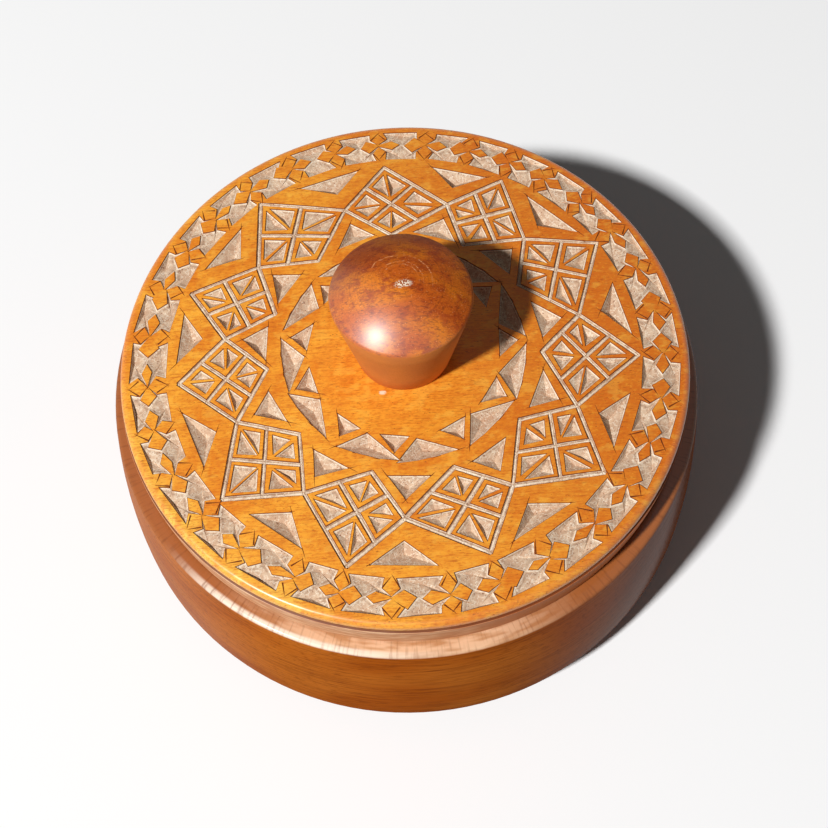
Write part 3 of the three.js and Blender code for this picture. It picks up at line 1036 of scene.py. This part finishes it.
boxLooks = {
    "wood": colour(176, 88, 20), "woodPale": colour(194, 108, 34),
    "woodDark": colour(110, 48, 12), "woodRed": colour(160, 82, 44),
    "rim": colour(160, 92, 46), "rimSheen": colour(196, 142, 98),
    "rimSheenWhite": colour(230, 186, 148), "rimEdgeHighlight": colour(255, 240, 220),
    "rimTick": colour(128, 70, 34),
    "patterns": {
        "patches": {"size": (26, 26, 12), "detail": 1, "seed": 8},
        "fibres": {"size": (6, 0.6, 0.6), "detail": 3, "roughness": 0.65, "seed": 6},
    },
    # patterns that run round the box: turning marks, and ticks and painted highlight streaks on its rim
    "turning": {"size": (12, 0.6, 0.4), "detail": 3, "roughness": 0.6, "seed": 3},
    "ticks": {"size": (0.5, 5, 1), "seed": 5},
    "rimSheenStreaks": {"size": (7, 1.6, 1), "roughness": 0.6, "seed": 25},
    "grounds": (("patches", 0.35, 0.65, 1, "woodPale"),),
    "stains": (
        ("turning", 0.42, 0.75, 0.55, "woodDark"),
        ("fibres", 0.5, 0.72, 0.5, "woodDark"),
    ),
    # painted bounce light: the right side of the box is painted a mauve red
    "bounceLitSide": ((1, 0, 5, 45),), "bounceLightCover": 0.7,
    # the rim, with a painted highlight: pale at the front and white along its edge at the left of it
    "rimUp": (-0.6, -0.2), "rimOut": (-0.1, 0.1),
    "rimSheenFront": ((0, 1, -30, -46), (1, 0, -40, -12), (1, 0, 30, 8)),
    "rimSheenLevels": (0.36, 0.6), "highlitOut": (-1.4, -0.8),
    "highlitFront": ((0, 1, -26, -38), (1, 0, -44, -32), (1, 0, 8, -14)), "highlitCover": 0.8,
    "tickLevels": (0.5, 0.72), "tickCover": 0.55, "tickLoss": 0.25,
    "varnish": {"IOR": 1.5, "Coat Roughness": 0.2, "Specular IOR Level": 0},
    "coat": 0.02, "leftSide": ((1, 0, -22, -42),), "rightSide": ((1, 0, 12, 40),),
    "sideCoat": 0.2, "rimCoat": 0.3, "roughness": 0.34, "turningRoughness": 0.16,
    "fibreHeight": 0.5,
    "grainBump": {"distance": 0.03, "strength": 0.4},
}


def boxRim(f, looks):
    # painted highlight: the rim pale and streaked at the front and white along its outer edge at the
    # front-left
    roundRim = f.joined(f.around, f.radius, 0)
    front = f.region("rimSheenFront")
    rimSheenStreaks = f.noise(roundRim, **looks["rimSheenStreaks"])
    highlit = f.fadeBy(f.radius, "highlitOut", boxSizes["rimRadius"]) * f.region("highlitFront")
    ticks = f.fadeBy(f.noise(roundRim, **looks["ticks"]), "tickLevels")
    rim = f.mix(f.fadeBy(rimSheenStreaks, "rimSheenLevels"), looks["rimSheen"], looks["rimSheenWhite"])
    rim = f.mix(front, looks["rim"], rim)
    rim = f.mix(highlit * looks["highlitCover"], rim, looks["rimEdgeHighlight"])
    return f.mix(ticks * (looks["tickCover"] - front * looks["tickLoss"]), rim, looks["rimTick"])


def boxFinish(looks):
    f = Finish(bpy.data.materials.new("turnedBoxWood"), looks)
    f.locate()
    turning = f.noise(f.joined(f.around, f.radius, f.z), **looks["turning"])
    f.patterns["turning"] = turning
    wood = f.stain(looks["wood"], "grounds")
    # painted bounce light on the right side of the box
    wood = f.mix(f.region("bounceLitSide") * looks["bounceLightCover"], wood, looks["woodRed"])
    wood = f.stain(wood, "stains")
    onRim = f.band(boxSizes["mouthRadius"], "rimOut", boxSizes["height"], "rimUp")
    sides = f.region("leftSide") + f.region("rightSide")
    grain = turning + f.patterns["fibres"] * looks["fibreHeight"]
    return f.surface(looks["varnish"], {
        "Base Color": f.mix(onRim, wood, boxRim(f, looks)),
        "Roughness": looks["roughness"] + turning * looks["turningRoughness"],
        "Coat Weight": looks["coat"] + sides * looks["sideCoat"] + onRim * looks["rimCoat"],
        "Normal": f.bump(grain, **looks["grainBump"]),
    })


# finish of the knob

knobLooks = {
    "wood": colour(194, 92, 24), "woodOrange": colour(220, 122, 20),
    "woodRed": colour(158, 62, 18), "woodDark": colour(92, 34, 10),
    "sideWood": colour(216, 136, 74), "scratch": colour(236, 160, 104),
    "scar": colour(255, 238, 214),
    "patterns": {
        "mottle": {"size": (2.2, 1.6, 2), "detail": 3, "roughness": 0.65, "seed": 3},
        "fine": {"size": (0.8, 0.25, 0.4), "detail": 3, "roughness": 0.6, "seed": 6},
        "patches": {"size": (8, 6, 9), "detail": 1, "seed": 2},
        "specks": {"size": (0.22, 0.22, 0.22), "detail": 1, "seed": 13},
    },
    "rings": {"size": (0.35, 0.35, 1), "seed": 17},
    "grounds": (("patches", 0.38, 0.62, 1, "woodOrange"),),
    # stains with two covers, the one that they have everywhere and what the dome has on top of it
    "stains": (
        ("mottle", 0.42, 0.66, 0.25, 0.6, "woodRed"),
        ("fine", 0.48, 0.72, 0.2, 0.45, "woodDark"),
        ("rings", 0.5, 0.7, 0.25, 0, "woodDark"),
        ("specks", 0.66, 0.74, 0, 0.6, "woodDark"),
        ("specks", 0.33, 0.26, 0, 0.5, "scratch"),
    ),
    "domeUp": (-0.4, 0.2), "sideCover": 0.75, "back": ((-0.5, 1, 2, 10),),
    "backCover": 0.55,
    # turning marks behind the top of the dome, each a pale broken arc
    "arcRadii": (2.9, 3.6, 5.1), "arcSide": ((0.4, 1, 0.6, 2),),
    "arcFineLevels": (0.42, 0.58), "arcMottleLevels": (0.38, 0.52), "arcWander": 2.4,
    "arcRaggedness": 0.6, "arcAreas": (0.02, 0.002), "arcCover": 0.75,
    # the scar on top of the dome
    "scarX": 0.8, "scarY": -0.7, "scarSlant": 0.4, "scarRaggedness": 1.2,
    "scarNarrowness": 4, "scarAreas": (2.89, 0.4), "scarLevels": (0.92, 1.08),
    "scarShadeCover": 0.4,
    "varnish": {"IOR": 1.5, "Coat IOR": 1.75, "Coat Roughness": 0.4, "Specular IOR Level": 0.04},
    "coat": 0.1, "front": ((-0.6, -0.8, -1, 6),), "frontCoat": 0.9, "roughness": 0.5,
    "fineRoughness": 0.1, "speckHeight": 0.6,
    "bump": {"distance": 0.09, "strength": 0.6},
}


def knobWood(f, looks, onDome):
    wood = f.stain(looks["wood"], "grounds")
    for name, start, full, cover, domeCover, tint in looks["stains"]:
        share = f.fade(f.patterns[name], start, full) * (cover + onDome * domeCover)
        wood = f.mix(share, wood, looks[tint])
    wood = f.mix((1 - onDome) * looks["sideCover"], wood, looks["sideWood"])
    back = f.region("back") * onDome
    return f.mix(back * looks["backCover"], wood, looks["woodDark"])


# 1 on the turning mark at a radius in mm, whose way the patterns bend and break
def turningArc(f, looks, radius):
    wander = f.swing("patches") * looks["arcWander"] + f.swing("mottle") * looks["arcRaggedness"]
    gap = f.radius - radius + wander
    shown = f.fadeBy(f.patterns["fine"], "arcFineLevels")
    shown = shown * f.fadeBy(f.patterns["mottle"], "arcMottleLevels")
    return f.fadeBy(gap * gap, "arcAreas") * shown * f.region("arcSide")


def scarPlace(f, looks):
    along = f.x - looks["scarX"] - f.y * looks["scarSlant"]
    across = f.y - looks["scarY"] + f.swing("fine") * looks["scarRaggedness"]
    return f.fadeBy(along * along + across * across * looks["scarNarrowness"], "scarAreas")


def knobFinish(looks):
    f = Finish(bpy.data.materials.new("knobWood"), looks)
    f.locate()
    patterns = f.patterns
    patterns["rings"] = f.noise(f.joined(f.radius, f.z, 0), **looks["rings"])
    fine = patterns["fine"]
    onDome = f.fadeBy(f.z, "domeUp", knobSizes["headHeight"])
    wood = knobWood(f, looks, onDome)
    for radius in looks["arcRadii"]:
        arc = turningArc(f, looks, radius) * onDome
        wood = f.mix(arc * looks["arcCover"], wood, looks["scratch"])
    inScar = scarPlace(f, looks) * onDome
    scar = inScar * f.fadeBy(patterns["specks"] + fine, "scarLevels")
    wood = f.mix(inScar * looks["scarShadeCover"], wood, looks["woodDark"])
    wood = f.mix(scar, wood, looks["scar"])
    front = f.region("front") * onDome
    grain = patterns["mottle"] + fine + patterns["specks"] * looks["speckHeight"] + inScar
    return f.surface(looks["varnish"], {
        "Base Color": wood,
        "Roughness": looks["roughness"] + fine * looks["fineRoughness"],
        "Coat Weight": (looks["coat"] + front * looks["frontCoat"]) * (1 - scar),
        "Normal": f.bump(grain, **looks["bump"]),
    })


dressPiece(boxPiece, "box", "box_body", boxFinish(boxLooks), boxSizes["sharpAngle"])
dressPiece(lidPiece, "lid", "lid", lidFinish(lidLooks), lidSizes["sharpAngle"])
dressPiece(knobPiece, "lid", "knob", knobFinish(knobLooks), knobSizes["sharpAngle"])
print("finishes made")


# floor and light

studio = {
    "floorSize": 3000,
    "floor": colour(250, 250, 250),
    "floorBounce": colour(135, 135, 135),
    "floorRoughness": 0.9,
    "worldLight": 0.06,
    "keyAzimuth": 221,
    "keyElevation": 50,
    "keyDistance": 2500,
    "keySize": 170,
    "keyPower": 73.5,
}


# 1 for what the camera sees, straight on or in a reflection, and 0 for what lights the pieces
def seenDirectly(f):
    seen = f.add("ShaderNodeLightPath", output="Is Camera Ray")
    for ray in ("Is Glossy Ray", "Is Transmission Ray"):
        seen = seen + f.add("ShaderNodeLightPath", output=ray)
    return f.fade(seen, 0, 1)


def floorFinish(looks):
    f = Finish(bpy.data.materials.new("paleFloor"), looks)
    tone = f.mix(seenDirectly(f), looks["floorBounce"], looks["floor"])
    dull = {"Roughness": looks["floorRoughness"], "Specular IOR Level": 0}
    return f.surface(dull, {"Base Color": tone})


deselectAll()
bpy.ops.mesh.primitive_plane_add(size=studio["floorSize"] * mm)
floorPlane = bpy.context.object
floorPlane.name = "floor"
floorPlane.data.materials.append(floorFinish(studio))


def skyFinish(looks):
    f = Finish(bpy.data.worlds.new("studio"), looks)
    strength = seenDirectly(f) * (1 - looks["worldLight"]) + looks["worldLight"]
    backdrop = f.add("ShaderNodeBackground", None, {"Color": (1, 1, 1, 1), "Strength": strength})
    f.add("ShaderNodeOutputWorld", None, {"Surface": backdrop})
    return f.owner


bpy.context.scene.world = skyFinish(studio)


def placeKey(setup):
    azimuth = math.radians(setup["keyAzimuth"])
    elevation = math.radians(setup["keyElevation"])
    level = math.cos(elevation)
    away = Vector((math.cos(azimuth) * level, math.sin(azimuth) * level, math.sin(elevation)))
    location = away * (setup["keyDistance"] * mm)
    rotation = away.to_track_quat("Z", "Y").to_euler()
    bpy.ops.object.light_add(type="AREA", location=location, rotation=rotation)
    key = bpy.context.object
    key.name = "keyLight"
    key.data.size = setup["keySize"] * mm
    key.data.energy = setup["keyPower"]


placeKey(studio)
bpy.context.scene.view_settings.view_transform = "Standard"
print("floor and light placed")
